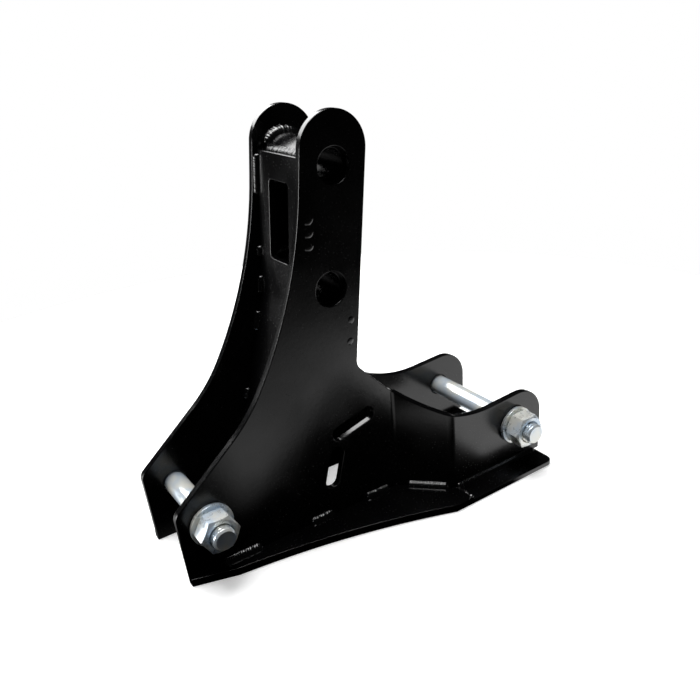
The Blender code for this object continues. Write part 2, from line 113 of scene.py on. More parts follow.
# %% A small shader language
class Value:
    """An output socket of a material's node tree that can be used in sums."""

    def __init__(self, tree, socket):
        self.tree = tree
        self.socket = socket

    def node(self, kind, settings=None, inputs=None, output=0):
        made = self.tree.nodes.new(kind)
        for name, setting in (settings or {}).items():
            setattr(made, name, setting)
        for name, given in (inputs or {}).items():
            socket = made.inputs[name]
            if isinstance(given, Value):
                self.tree.links.new(given.socket, socket)
            else:
                socket.default_value = given
        return Value(self.tree, made.outputs[output])

    def _math(self, operation, first, second):
        return self.node("ShaderNodeMath", {"operation": operation}, {0: first, 1: second})

    def __add__(self, other):
        return self._math("ADD", self, other)

    __radd__ = __add__

    def __sub__(self, other):
        return self._math("SUBTRACT", self, other)

    def __rsub__(self, other):
        return self._math("SUBTRACT", other, self)

    def __mul__(self, other):
        return self._math("MULTIPLY", self, other)

    __rmul__ = __mul__

    def above(self, edge, softness):
        """0 below edge and 1 above it, with a soft step of that width."""
        return self.node("ShaderNodeMapRange", {"interpolation_type": "SMOOTHSTEP"}, {
            "Value": self, "From Min": edge, "From Max": edge + softness, "To Min": 0, "To Max": 1,
        })

    def between(self, colour_a, colour_b):
        """A colour that goes from a to b as the value goes from 0 to 1."""
        return self.node("ShaderNodeMix", {"data_type": "RGBA"}, {
            0: self, 6: (*colour_a, 1), 7: (*colour_b, 1),
        }, 2)


def new_finish(name, **constants):
    """A Principled material, its shader, and a Value at the place on the piece, in metres."""
    material = bpy.data.materials.new(name)
    material.use_nodes = True
    shader = material.node_tree.nodes["Principled BSDF"]
    for socket, constant in constants.items():
        shader.inputs[socket.replace("_", " ")].default_value = constant
    place = material.node_tree.nodes.new("ShaderNodeTexCoord")
    return material, shader, Value(material.node_tree, place.outputs["Object"])


def noise(place, scale, detail=2.0, roughness=0.5, output=0):
    return place.node("ShaderNodeTexNoise", {}, {
        "Vector": place, "Scale": scale, "Detail": detail, "Roughness": roughness,
    }, output)


def drive(shader, **values):
    """Links values to the shader's sockets."""
    for socket, value in values.items():
        value.tree.links.new(value.socket, shader.inputs[socket.replace("_", " ")])


def bump(height, strength, distance, normal=None):
    inputs = {"Height": height, "Strength": strength, "Distance": distance}
    if normal:
        inputs["Normal"] = normal
    return height.node("ShaderNodeBump", {}, inputs)


# %% [markdown]
# Powder coat is thick and glossy, and it never lies quite flat: it sets with the fine waves that
# painters call orange peel. Two bumps make it, waves of about 3 mm and a finer grain of half a
# millimetre, both very shallow, because deep ones would break the broad reflections of the plates.
# Dust and handling make the gloss vary a little in soft patches. Weld metal is coated more
# unevenly and shines more, and inside the bores the coat is thin and nearly dull.


# %% Gloss black powder coat
def powder_coat(name, wave, dust, shine=0.5):
    """wave is the depth of the orange peel, and shine how much the coat reflects."""
    material, shader, place = new_finish(name, Specular_IOR_Level=shine, IOR=1.5)
    patches = noise(place, 22.0, 3.0)
    specks = noise(place, 900.0, 1.0).above(0.70, 0.05)
    colour = (specks * dust).between((0.0012, 0.0012, 0.0014), (0.03, 0.03, 0.029))
    rough = 0.17 + 0.10 * patches.above(0.35, 0.4) + 0.12 * specks
    waves = bump(noise(place, 330.0, 1.0), wave, 0.00025)
    grain = bump(noise(place, 1700.0, 2.0), 0.5 * wave, 0.00006, waves)
    drive(shader, Base_Color=colour, Roughness=rough, Normal=grain)
    return material


plate_coat = powder_coat("powder_coat_on_plate", 0.10, 0.12)
weld_coat = powder_coat("powder_coat_on_weld", 0.22, 0.15, 0.9)
bore_coat = powder_coat("thin_powder_coat_in_bore", 0.10, 0.10, 0.08)
print("finishes:", [plate_coat.name, weld_coat.name, bore_coat.name])

# %% [markdown]
# Bright zinc plate with a clear passivate is a cool white metal. Thin passivate shimmers faintly
# blue and yellow, so the colour drifts between the two over centimetres. The steel below was
# drawn or pressed, which leaves a fine unevenness in the gloss.


# %% Bright zinc plate
def zinc_plate(name, rough_low, rough_spread, grain):
    material, shader, place = new_finish(name, Metallic=0.5)
    drift = noise(place, 75.0, 2.0).above(0.35, 0.3)
    cloud = noise(place, 260.0, 3.0).above(0.3, 0.4)
    colour = drift.between((0.66, 0.76, 0.86), (0.86, 0.86, 0.80))
    rough = rough_low + rough_spread * cloud
    fine = bump(noise(place, 2600.0, 2.0), grain, 0.00003)
    drive(shader, Base_Color=colour, Roughness=rough, Normal=fine)
    return material


smooth_zinc = zinc_plate("zinc_on_shank", 0.16, 0.10, 0.15)
pressed_zinc = zinc_plate("zinc_on_nut_and_washer", 0.24, 0.16, 0.35)
print("finishes:", [smooth_zinc.name, pressed_zinc.name])

# %% [markdown]
# Outlines are walked like a pen over paper: straight runs and arcs that follow on from each other.
# The side plates, wings and slots all come from this one small class.


# %% A pen for outlines
class Pen:
    """Walks along an outline: straight runs and arcs that follow on from each other."""

    def __init__(self, first, second, heading):
        self.points = [(first, second)]
        self.heading = heading

    def run(self, length):
        first, second = self.points[-1]
        angle = math.radians(self.heading)
        self.points.append((first + length * math.cos(angle), second + length * math.sin(angle)))

    def run_to_height(self, height):
        self.run((height - self.points[-1][1]) / math.sin(math.radians(self.heading)))

    def run_to_reach(self, reach):
        self.run((reach - self.points[-1][0]) / math.cos(math.radians(self.heading)))

    def arc(self, radius, turn, step=4.0):
        """Turns left by turn degrees, or right where turn is negative."""
        pieces = max(2, math.ceil(abs(turn) / step))
        chord = 2 * radius * math.sin(math.radians(abs(turn) / pieces / 2))
        for _ in range(pieces):
            self.heading += turn / pieces / 2
            self.run(chord)
            self.heading += turn / pieces / 2


def circle(centre, radius, count=56):
    return [
        (centre[0] + radius * math.cos(2 * math.pi * k / count),
         centre[1] + radius * math.sin(2 * math.pi * k / count))
        for k in range(count)
    ]


def slot(centre, length, width, tilt):
    """An obround opening: two half circles joined by straight sides."""
    pen = Pen(0, 0, 0)
    pen.run(length - width)
    pen.arc(width / 2, 180, 12)
    pen.run(length - width)
    pen.arc(width / 2, 180, 12)
    turn = math.radians(tilt)
    middle = ((length - width) / 2, width / 2)
    return [
        (centre[0] + (x - middle[0]) * math.cos(turn) - (z - middle[1]) * math.sin(turn),
         centre[1] + (x - middle[0]) * math.sin(turn) + (z - middle[1]) * math.cos(turn))
        for x, z in pen.points[:-1]
    ]


def rounded_rectangle(low, high, radius):
    pen = Pen(low[0] + radius, low[1], 0)
    for reach in (high[0] - low[0], high[1] - low[1], high[0] - low[0], high[1] - low[1]):
        pen.run(reach - 2 * radius)
        pen.arc(radius, 90, 18)
    return pen.points[:-1]


# %% [markdown]
# A laser-cut plate is flat, with edges that the coating rounds off. One function builds them all:
# it takes the outer outline and the openings, and stacks copies of each outline that step in
# towards both faces along a quarter circle. The faces are then filled, openings included. Rounding
# by hand like this gives clean edges that a Bevel modifier can't on outlines with many points.


# %% Rounded plates
def step_in(loop, distance):
    """Moves a closed counterclockwise outline inwards by a distance."""
    moved = []
    for k, point in enumerate(loop):
        before = Vector(loop[k - 1])
        here = Vector(point)
        after = Vector(loop[(k + 1) % len(loop)])
        first = (here - before).normalized()
        second = (after - here).normalized()
        left_first = Vector((-first.y, first.x))
        left_second = Vector((-second.y, second.x))
        lean = left_first + left_second
        lean *= 1 / max(0.35, 1 + left_first.dot(left_second))
        moved.append(tuple(here + distance * lean))
    return moved


def signed_area(loop):
    return sum(a[0] * b[1] - b[0] * a[1] for a, b in zip(loop, loop[1:] + loop[:1])) / 2


def rounded_plate(outer, openings, thickness, rounding, steps=3):
    """A bmesh of a flat plate in (u, v, depth), with all its edges rounded."""
    shape = bmesh.new()
    quarter = [math.radians(90 * k / steps) for k in range(steps + 1)]
    layers = [(rounding * (1 - math.sin(a)), rounding * (1 - math.cos(a))) for a in quarter]
    profile = layers + [(inset, thickness - depth) for inset, depth in layers[::-1]]
    faces = {0: [], len(profile) - 1: []}
    for number, loop in enumerate([outer] + openings):
        if (signed_area(loop) > 0) != (number == 0):
            loop = loop[::-1]
        rows = [
            [shape.verts.new((u, v, depth)) for u, v in step_in(loop, inset)]
            for inset, depth in profile
        ]
        for lower, upper in zip(rows, rows[1:]):
            for here in range(len(loop)):
                there = (here + 1) % len(loop)
                shape.faces.new((lower[here], lower[there], upper[there], upper[here]))
        for level, edges in faces.items():
            row = rows[level]
            edges += [shape.edges.get((row[k - 1], row[k])) for k in range(len(row))]
    for edges in faces.values():
        bmesh.ops.triangle_fill(shape, edges=edges, use_beauty=True)
    bmesh.ops.recalc_face_normals(shape, faces=shape.faces)
    return shape



# %% Finishing a piece
pieces_made = []


def finish_piece(name, shape, materials, body, nodes=(), sharp=40, flat_first=True):
    mesh = bpy.data.meshes.new(name)
    bmesh.ops.recalc_face_normals(shape, faces=shape.faces)
    shape.to_mesh(mesh)
    shape.free()
    for material in materials:
        mesh.materials.append(material)
    mesh.shade_smooth()
    mesh.set_sharp_from_angle(angle=math.radians(sharp))
    piece = bpy.data.objects.new(name, mesh)
    bpy.context.scene.collection.objects.link(piece)
    piece.location = datum
    if flat_first:
        weighted = piece.modifiers.new("flat faces first", "WEIGHTED_NORMAL")
        weighted.keep_sharp = True
    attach(piece, body)
    if nodes:
        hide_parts(*nodes)
    pieces_made.append(name)
    return piece


def cut_across(shape, axis, places):
    """Adds a line of points across a bmesh at each place along an axis, ready to be bent."""
    for place in places:
        point = [0.0, 0.0, 0.0]
        normal = [0.0, 0.0, 0.0]
        point[axis] = place
        normal[axis] = 1.0
        everything = shape.verts[:] + shape.edges[:] + shape.faces[:]
        bmesh.ops.bisect_plane(shape, geom=everything, dist=1e-7, plane_co=point, plane_no=normal)


def move_points(shape, rule):
    for vert in shape.verts:
        vert.co = rule(*vert.co)


# %% [markdown]
# The blank of a side plate. Both plates are cut to one outline: a tall cheek that leans back, a
# long hollow toe side that runs out to the nose, and a shoulder that sweeps down to the ear.


# %% The blank of a side plate
TOP_CENTRE = (-0.0224, 0.2617)
TOP_R = 0.0238
LEAN = 6.8
TOE_STRAIGHT = 0.0226          # straight run below the round top, toe side
SWEEP_R, SWEEP_TURN = 0.3050, 24.5
KNEE_R, KNEE_TURN = 0.1100, 18.5
TOE_RUN = 0.0550
NOSE_R = 0.0080
NOSE_HEADING = 273             # the toe face leans back a little under the nose
NECK_Z = 0.1200
NECK_R = 0.0100
SHOULDER_HEADING = 314
SHOULDER_RUN = 0.0320
SHOULDER_R = 0.0930
EAR_R = 0.0240
EAR_RISE = 3.5
EAR_FOOT_Z = STRIP_T + GAP
TOE_BOLT = (-0.1365, 0.0413)
HEEL_BOLT = (0.1066, 0.0367)
PIN_HOLE_R = 0.0115
BOLT_HOLE_R = 0.00875
SLOT_WIDTH = 0.0110
SLOTS = (                      # centre X, centre Z, length, tilt
    (-0.0220, 0.0720, 0.0360, 15.0),
    (-0.0400, 0.0430, 0.0320, 75.0),
)


def on_top_circle(angle):
    turn = math.radians(angle)
    return TOP_CENTRE[0] + TOP_R * math.cos(turn), TOP_CENTRE[1] + TOP_R * math.sin(turn)


def toe_side():
    """From the round top down the toe side of the cheek to the ground."""
    pen = Pen(*on_top_circle(180 - LEAN), 270 - LEAN)
    pen.run(TOE_STRAIGHT)
    pen.arc(SWEEP_R, -SWEEP_TURN, 1.5)
    pen.arc(KNEE_R, -KNEE_TURN, 2.0)
    pen.run(TOE_RUN)
    pen.arc(NOSE_R, NOSE_HEADING - pen.heading, 10)
    pen.run_to_height(0.0)
    return pen.points


def heel_side():
    """From the round top down the heel side, over the shoulder and the ear, to its foot."""
    pen = Pen(*on_top_circle(-LEAN), 270 - LEAN)
    pen.run_to_height(NECK_Z)
    pen.arc(NECK_R, SHOULDER_HEADING - pen.heading, 8)
    pen.run(SHOULDER_RUN)
    pen.arc(SHOULDER_R, 360 - SHOULDER_HEADING + EAR_RISE, 2.5)
    pen.run_to_reach(REAR_X - EAR_R * (1 + math.sin(math.radians(EAR_RISE))))
    pen.arc(EAR_R, -90 - EAR_RISE, 5)
    pen.run_to_height(EAR_FOOT_Z)
    return pen.points


def with_notches(line, depth=0.0016):
    """Adds the small relief notch where each bend of the near plate meets the top edge."""
    notched = [line[0]]
    for (x0, z0), (x1, z1) in zip(line, line[1:]):
        for x in (BEND_X, BEND_END_X):
            if x0 < x - depth and x + depth < x1 and z0 < NECK_Z:
                slope = (z1 - z0) / (x1 - x0)
                notched.append((x - depth, z0 + slope * (x - depth - x0)))
                notched.append((x, z0 + slope * (x - x0) - depth))
                notched.append((x + depth, z0 + slope * (x + depth - x0)))
        notched.append((x1, z1))
    return notched


def side_blank(notches):
    heel = with_notches(heel_side()) if notches else heel_side()
    foot = [(SEAM_X, 0.0), (SEAM_X, EAR_FOOT_Z)]
    top = Pen(*on_top_circle(-LEAN), 90 - LEAN)
    top.arc(TOP_R, 180.0, 4.5)
    return toe_side() + foot + heel[::-1] + top.points[1:-1]


def side_openings():
    holes = [circle(pin, PIN_HOLE_R) for pin in (UPPER_PIN, LOWER_PIN)]
    holes += [circle(bolt, BOLT_HOLE_R) for bolt in (TOE_BOLT, HEEL_BOLT)]
    return holes + [slot((x, z), length, SLOT_WIDTH, tilt) for x, z, length, tilt in SLOTS]


TOE_X = toe_side()[-1][0]
print("points in a blank:", len(side_blank(True)), "toe at", round(1000 * TOE_X, 1), "mm")

# %% [markdown]
# The far plate stays flat. The near plate is joggled: a press brake bends it outwards by 45
# degrees and back again, so its ear stands 30 mm further out. The bend is a path for the outer
# face, two arcs joined by a slope. Each point of the flat plate goes to its place on that path and
# then inwards by its depth in the plate, so the sheet keeps its thickness round both bends.

# %% Side plates
BEND = math.radians(45)
PLATE_ROUNDING = 0.0007
INSIDE_R = 0.0045
OUTSIDE_R = INSIDE_R + PLATE_T
FIRST_START = BEND_X - INSIDE_R * math.tan(BEND / 2)
FIRST_END = FIRST_START + INSIDE_R * math.sin(BEND)
SECOND_END = BEND_END_X + OUTSIDE_R * math.tan(BEND / 2)
SECOND_START = SECOND_END - OUTSIDE_R * math.sin(BEND)


def joggle_path(x):
    """Y of the outer face at x, and the angle that the plate makes with the middle plane."""
    if x <= FIRST_START:
        return -HALF, 0.0
    if x < FIRST_END:
        angle = math.asin((x - FIRST_START) / INSIDE_R)
        return -HALF - INSIDE_R * (1 - math.cos(angle)), angle
    if x <= SECOND_START:
        return -HALF - INSIDE_R * (1 - math.cos(BEND)) - (x - FIRST_END), BEND
    if x < SECOND_END:
        angle = math.asin((SECOND_END - x) / OUTSIDE_R)
        return -HALF - JOGGLE + OUTSIDE_R * (1 - math.cos(angle)), angle
    return -HALF - JOGGLE, 0.0


def on_near_plate(x, z, depth):
    y, angle = joggle_path(x)
    return x + depth * math.sin(angle), y + depth * math.cos(angle), z


def arc_places(start, end, count):
    return [start + (end - start) * k / count for k in range(count + 1)]


near = rounded_plate(side_blank(True), side_openings(), PLATE_T, PLATE_ROUNDING)
cut_across(near, 0, arc_places(FIRST_START, FIRST_END, 8) + arc_places(SECOND_START, SECOND_END, 8))
move_points(near, on_near_plate)
finish_piece("near_side_plate_coated", near, [plate_coat], "frame",
             ["near_side_plate"], sharp=50)

far = rounded_plate(side_blank(False), side_openings(), PLATE_T, PLATE_ROUNDING)
move_points(far, lambda x, z, depth: (x, HALF - depth, z))
finish_piece("far_side_plate_coated", far, [plate_coat], "frame",
             ["far_side_plate"], sharp=50)
print("side plates:", pieces_made[-2:])

# %% [markdown]
# The cross tubes carry the pins. Turned pieces like these come from a stack of rings along Y. A
# ring's radius may change round the axis, which later gives the hexagons and the threads too.


# %% Turned pieces and the cross tubes
def turned(rings, count, closed):
    """A bmesh about the Y axis. Each ring is a function of the angle that gives (radius, y)."""
    shape = bmesh.new()
    rows = []
    for ring in rings:
        row = []
        for k in range(count):
            angle = 2 * math.pi * k / count
            radius, along = ring(angle)
            row.append(shape.verts.new((radius * math.cos(angle), along, radius * math.sin(angle))))
        rows.append(row)
    pairs = list(zip(rows, rows[1:])) + ([(rows[-1], rows[0])] if closed else [])
    for lower, upper in pairs:
        for here in range(count):
            there = (here + 1) % count
            shape.faces.new((lower[here], lower[there], upper[there], upper[here]))
    if not closed:
        shape.faces.new(rows[0])
        shape.faces.new(rows[-1])
    return shape


def flat_ring(radius, along):
    return lambda angle: (radius, along)


def tube_rings(inner, outer, low, high, rounding):
    quarter = [math.radians(30 * k) for k in range(4)]
    corners = ((inner, low, 1, 1), (outer, low, -1, 1), (outer, high, -1, -1), (inner, high, 1, -1))
    rings = []
    for number, (radius, along, inward, upward) in enumerate(corners):
        turns = quarter if number in (1, 3) else quarter[::-1]
        for a in turns:
            rings.append(flat_ring(radius + inward * rounding * (1 - math.sin(a)),
                                   along + upward * rounding * (1 - math.cos(a))))
    return rings


def shifted(shape, x, y, z):
    bmesh.ops.translate(shape, verts=shape.verts, vec=(x, y, z))
    return shape


BORE_R = 0.0100
TUBE_ROUNDING = 0.0006
for label, pin in (("upper", UPPER_PIN), ("lower", LOWER_PIN)):
    low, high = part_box(f"{label}_cross_tube")
    tube = turned(tube_rings(BORE_R, (high.z - low.z) / 2, -INNER_HALF, INNER_HALF, TUBE_ROUNDING), 72, True)
    for face in tube.faces:
        middle = face.calc_center_median()
        face.material_index = int(math.hypot(middle.x, middle.z) < BORE_R + TUBE_ROUNDING / 2)
    finish_piece(f"{label}_cross_tube_coated", shifted(tube, pin[0], 0, pin[1]), [plate_coat, bore_coat],
                 "frame", [f"{label}_cross_tube"])
print("tubes:", pieces_made[-2:])

# %% [markdown]
# The front web closes the cheeks on the toe side. It is a strip of plate with one soft bend and a
# window, so it is drawn flat, as width and run down the plate, and then laid along its path. The
# rear web is a plain plate that leans with the cheeks.

# %% Webs
WEB_T = 0.0050
WEB_ROUNDING = 0.0006
WEB_GAP = 0.0003               # from either web to the lower cross tube
LOWER_TUBE_R = 0.0140
UPPER_LEAN = math.radians(5.2)
LOWER_LEAN = math.radians(15.9)
WEB_BEND_Z = 0.1640
WEB_FRONT_X = LOWER_PIN[0] - (LOWER_TUBE_R + WEB_GAP + WEB_T) / math.cos(UPPER_LEAN)
web_low, web_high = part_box("front_web")
WEB_TOP_Z = web_high.z - datum.z
WEB_TOP_RUN = (WEB_TOP_Z - WEB_BEND_Z) / math.cos(UPPER_LEAN)
WEB_FOOT_RUN = (WEB_BEND_Z - (web_low.z - datum.z)) / math.cos(LOWER_LEAN)
WEB_BEND_R = 0.0400
WINDOW_Z = (0.1905, 0.2420)
WINDOW_HALF = 0.0120


def web_path(run):
    """Place and lean on the web's front face, at a run up the plate from its bend."""
    spread = (LOWER_LEAN - UPPER_LEAN) / 2
    length = WEB_BEND_R * spread
    share = min(max((run + length) / (2 * length), 0.0), 1.0)
    lean = LOWER_LEAN + (UPPER_LEAN - LOWER_LEAN) * share
    bend_x = WEB_FRONT_X + (WEB_BEND_Z - LOWER_PIN[1]) * math.tan(UPPER_LEAN)
    straight = UPPER_LEAN if run > 0 else LOWER_LEAN
    return bend_x + run * math.sin(straight), WEB_BEND_Z + run * math.cos(straight), lean


def on_front_web(y, run, depth):
    x, z, lean = web_path(run)
    return x + depth * math.cos(lean), y, z - depth * math.sin(lean)


WEB_HALF = INNER_HALF - 0.0001
window_low, window_high = [(z - WEB_BEND_Z) / math.cos(UPPER_LEAN) for z in WINDOW_Z]
web = rounded_plate(
    rounded_rectangle((-WEB_HALF, -WEB_FOOT_RUN), (WEB_HALF, WEB_TOP_RUN), 0.0008),
    [rounded_rectangle((-WINDOW_HALF, window_low), (WINDOW_HALF, window_high), 0.0025)],
    WEB_T, WEB_ROUNDING)
cut_across(web, 1, arc_places(-0.0030, 0.0030, 6))
move_points(web, on_front_web)
finish_piece("front_web_coated", web, [plate_coat], "frame", ["front_web"])

REAR_WEB_T = 0.0040
rear_low, rear_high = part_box("rear_web")
lean = math.radians(LEAN)
foot_x = LOWER_PIN[0] + (LOWER_TUBE_R + WEB_GAP) / math.cos(lean)
foot = (foot_x + (rear_low.z - LOWER_PIN[1]) * math.tan(lean), rear_low.z)
rear_run = (rear_high.z - rear_low.z) / math.cos(lean)
rear = rounded_plate(
    rounded_rectangle((-WEB_HALF, 0), (WEB_HALF, rear_run), 0.0008), [], REAR_WEB_T, WEB_ROUNDING)
move_points(rear, lambda y, run, depth: (
    foot[0] + run * math.sin(lean) + depth * math.cos(lean), y,
    foot[1] + run * math.cos(lean) - depth * math.sin(lean) + REAR_WEB_T * math.sin(lean)))
finish_piece("rear_web_coated", rear, [plate_coat], "frame", ["rear_web"])
print("webs:", pieces_made[-2:])

# %% [markdown]
# The feet: a wing that widens along each cheek, and a strip under each ear. Both are flat plates,
# seen from above. The near wing follows the joggle on its inner side.


# %% Wings and strips
def plate_face(joggle, offset):
    """The outer face of a side plate from above, moved out by offset, from toe to seam."""
    shift = offset * math.tan(BEND / 2)
    face = [(TOE_X, HALF + offset)]
    if joggle:
        face += [(BEND_X - shift, HALF + offset), (BEND_END_X - shift, HALF + joggle + offset)]
    return face + [(SEAM_X, HALF + joggle + offset)]


def hollow_edge(start, slope, end, pieces=40):
    chord = math.atan2(end[1] - start[1], end[0] - start[0])
    half_turn = chord - math.radians(slope)
    length = math.hypot(end[0] - start[0], end[1] - start[1])
    pen = Pen(*start, slope)
    pen.arc(length / 2 / math.sin(half_turn), math.degrees(2 * half_turn),
            math.degrees(2 * half_turn) / pieces)
    return pen.points


WING_START = 0.0010            # width of a wing where it leaves the toe
WING_CORNER = (0.0300, 0.0105)  # behind the toe, and out from the near plate
WING_SLOPE = {"near": 6.3, "far": 0.5}
WING_END_X = 0.0305            # where the hollow edge of a wing reaches its full width
STRIP_OUTSIDE = 0.0196         # strip outside its ear
STRIP_INSIDE = 0.0080          # strip inside its ear
STRIP_CORNER_R = 0.0060
SIDES = (("near", -1, JOGGLE), ("far", 1, 0.0))
for label, side, joggle in SIDES:
    full = HALF + joggle + STRIP_OUTSIDE
    corner = (TOE_X + WING_CORNER[0], HALF + (WING_CORNER[1] if joggle else WING_CORNER[1] / 2))
    edge = hollow_edge(corner, WING_SLOPE[label], (WING_END_X, full))
    outer = [(TOE_X, HALF + GAP + WING_START)] + edge + [(SEAM_X, full)]
    outline = plate_face(joggle, GAP) + outer[::-1]
    wing = rounded_plate(outline, [], WING_T, 0.0006)
    move_points(wing, lambda x, y, depth: (x, side * y, depth))
    finish_piece(f"{label}_wing_coated", wing, [plate_coat], "frame",
                 [f"{label}_wing"])

    low = INNER_HALF + joggle - STRIP_INSIDE
    pen = Pen(SEAM_X + GAP, low, 0)
    pen.run_to_reach(STRIP_END_X)
    pen.heading = 90
    pen.run_to_height(full - STRIP_CORNER_R)
    pen.arc(STRIP_CORNER_R, 90, 8)
    pen.run_to_reach(SEAM_X + GAP)
    strip = rounded_plate(pen.points, [], STRIP_T, 0.0005)
    move_points(strip, lambda x, y, depth: (x, side * y, depth))
    finish_piece(f"{label}_rear_strip_coated", strip, [plate_coat], "frame",
                 [f"{label}_rear_strip"])
print("feet:", pieces_made[-4:])

# %% [markdown]
# A weld bead is a row of overlapping pools of metal, each frozen a moment after the last. Seen
# close up it is a bulging strip with curved ripples, a little uneven, with rounded ends. The bead
# is swept along a route: at each short step the route gives the corner point and the directions
# of the two faces that the bead joins, and the ripples change how far the bead bulges.


# %% Weld beads
def bead_section(leg, steps=9):
    """Directions across a bead, from one face to the other, and how full it is there."""
    for k in range(steps):
        turn = math.pi / 2 * k / (steps - 1)
        flat = 1 / (math.cos(turn) + math.sin(turn))
        yield math.cos(turn), math.sin(turn), leg * (0.45 * flat + 0.55), abs(2 * k / (steps - 1) - 1)


def add_bead(shape, route, length, leg, seed, pitch=0.0017, ripple=0.11):
    """Adds a bead to a bmesh. route(distance) gives (corner, out along face a, out along face b)."""
    luck = random.Random(seed)
    count = max(10, int(length / 0.00036))
    pools = [luck.uniform(0.92, 1.0) for _ in range(int(length / pitch) + 4)]
    rows = []
    for k in range(count + 1):
        along = length * k / count
        corner, out_a, out_b = (Vector(item) for item in route(along))
        end = min(along, length - along) / (0.7 * leg)
        taper = math.sqrt(max(0.04, 1 - (1 - min(end, 1.0)) ** 2))
        row = [shape.verts.new(corner)]
        for a, b, reach, edge in bead_section(leg):
            phase = along / pitch + 0.45 * (1 - edge * edge)
            pool = pools[int(phase)]
            wave = math.sqrt(abs(math.sin(math.pi * (phase % 1.0))))
            size = reach * taper * pool * (1 - ripple * (1 - wave))
            row.append(shape.verts.new(corner + size * (a * out_a + b * out_b)))
        rows.append(row)
    shape.faces.new(rows[0])
    shape.faces.new(rows[-1][::-1])
    for lower, upper in zip(rows, rows[1:]):
        for here in range(len(lower)):
            there = (here + 1) % len(lower)
            shape.faces.new((lower[here], lower[there], upper[there], upper[here]))


def straight(start, end, out_a, out_b):
    start, end = Vector(start), Vector(end)
    length = (end - start).length
    return (lambda along: (start + (end - start) * along / length, out_a, out_b)), length


def finish_weld(name, shape, nodes):
    return finish_piece(name, shape, [weld_coat], "frame", nodes, sharp=75,
                        flat_first=False)


# %% [markdown]
# The welds along the wings are stitches: a long one at the toe, one in the middle, one before the
# joggle and one along the slope. The ears are welded to their strips all the way, and a short
# bead closes the seam between wing and strip.

# %% Welds of the feet
WING_LEG = 0.0042
STRIP_LEG = 0.0028
UP = (0, 0, 1)
for label, side, joggle in SIDES:
    shape = bmesh.new()
    out = (0, side, 0)
    for number, (low, high) in enumerate(((-0.1330, -0.1030), (-0.0640, -0.0440), (-0.0160, 0.0060))):
        route, length = straight((low, side * HALF, WING_T), (high, side * HALF, WING_T), out, UP)
        add_bead(shape, route, length, WING_LEG, 10 * number + side)
    if joggle:
        slope_out = (-math.sin(BEND), side * math.cos(BEND), 0)
        start = (BEND_X + 0.0060, side * (HALF + 0.0060), WING_T)
        end = (BEND_END_X - 0.0015, side * (HALF + joggle - 0.0015), WING_T)
        route, length = straight(start, end, slope_out, UP)
        add_bead(shape, route, length, WING_LEG, 3)
    finish_weld(f"{label}_wing_stitches", shape, [f"{label}_wing_weld"])

    shape = bmesh.new()
    ear = side * (HALF + joggle)
    route, length = straight((SEAM_X + 0.0020, ear, STRIP_T), (STRIP_END_X - 0.0020, ear, STRIP_T),
                             out, UP)
    add_bead(shape, route, length, STRIP_LEG, 21 + side, pitch=0.0014)
    finish_weld(f"{label}_strip_bead", shape, [f"{label}_strip_weld"])

    shape = bmesh.new()
    low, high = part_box(f"{label}_seam_weld")
    y_low, y_high = low.y - datum.y, high.y - datum.y
    route, length = straight((SEAM_X, y_low, STRIP_T), (SEAM_X, y_high, STRIP_T), (1, 0, 0), UP)
    add_bead(shape, route, length, 0.0040, 31 + side)
    route, length = straight((SEAM_X, y_low, WING_T - 0.0010), (SEAM_X, y_high, WING_T - 0.0010),
                             (-1, 0, 0), UP)
    add_bead(shape, route, length, 0.0026, 41 + side)
    finish_weld(f"{label}_seam_bead", shape, [f"{label}_seam_weld"])
print("welds of the feet:", pieces_made[-6:])

# %% [markdown]
# Inside the frame, the tubes are welded round their ends and the webs are stitched to the cheeks.
# One more bead lies across the top of the front web, in the corner with the upper tube.

# %% Welds inside the frame
INNER_LEG = 0.0030


def round_tube(pin, radius, arc, side):
    """Route of a bead round a tube, in the corner with a cheek's inner face."""
    start, end = math.radians(arc[0]), math.radians(arc[1])
    length = radius * (end - start)

    def route(along):
        angle = start + (end - start) * along / length
        out = Vector((math.cos(angle), 0, math.sin(angle)))
        corner = Vector((pin[0], side * INNER_HALF, pin[1])) + radius * out
        return corner, out, (0, -side, 0)

    return route, length


UPPER_LEG = 0.0052
FRONT_STITCHES = (             # runs up the front web from its bend
    (0.066, 0.093), (0.024, 0.032), (-0.002, 0.011), (-0.029, -0.0145), (-0.081, -0.072),
)
REAR_STITCHES = ((0.012, 0.034), (0.090, 0.112))  # runs up the rear web from its foot
for label, side, joggle in SIDES:
    for which, pin, arc, leg in (("upper", UPPER_PIN, (-98, 148), UPPER_LEG),
                                 ("lower", LOWER_PIN, (57, 126), INNER_LEG)):
        low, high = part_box(f"{which}_cross_tube")
        route, length = round_tube(pin, (high.z - low.z) / 2, arc, side)
        shape = bmesh.new()
        add_bead(shape, route, length, leg, 50 + side)
        finish_weld(f"{which}_tube_{label}_bead", shape, [f"{which}_tube_{label}_weld"])

    shape = bmesh.new()
    for number, (low, high) in enumerate(FRONT_STITCHES):
        foot_x, foot_z, web_lean = web_path(low)
        end_x, end_z, web_lean = web_path(high)
        out = (-math.cos(web_lean), 0, math.sin(web_lean))
        route, length = straight((foot_x, side * INNER_HALF, foot_z), (end_x, side * INNER_HALF, end_z),
                                 out, (0, -side, 0))
        add_bead(shape, route, length, INNER_LEG, 60 + number + 7 * side)
    finish_weld(f"front_web_{label}_stitches", shape, [f"front_web_{label}_weld"])

    shape = bmesh.new()
    for number, (low, high) in enumerate(REAR_STITCHES):
        ends = [
            (foot[0] + REAR_WEB_T / math.cos(lean) + run * math.sin(lean), side * INNER_HALF,
             foot[1] + run * math.cos(lean))
            for run in (low, high)
        ]
        route, length = straight(*ends, (math.cos(lean), 0, -math.sin(lean)), (0, -side, 0))
        add_bead(shape, route, length, INNER_LEG, 80 + number + 7 * side)
    finish_weld(f"rear_web_{label}_stitches", shape, [f"rear_web_{label}_weld"])

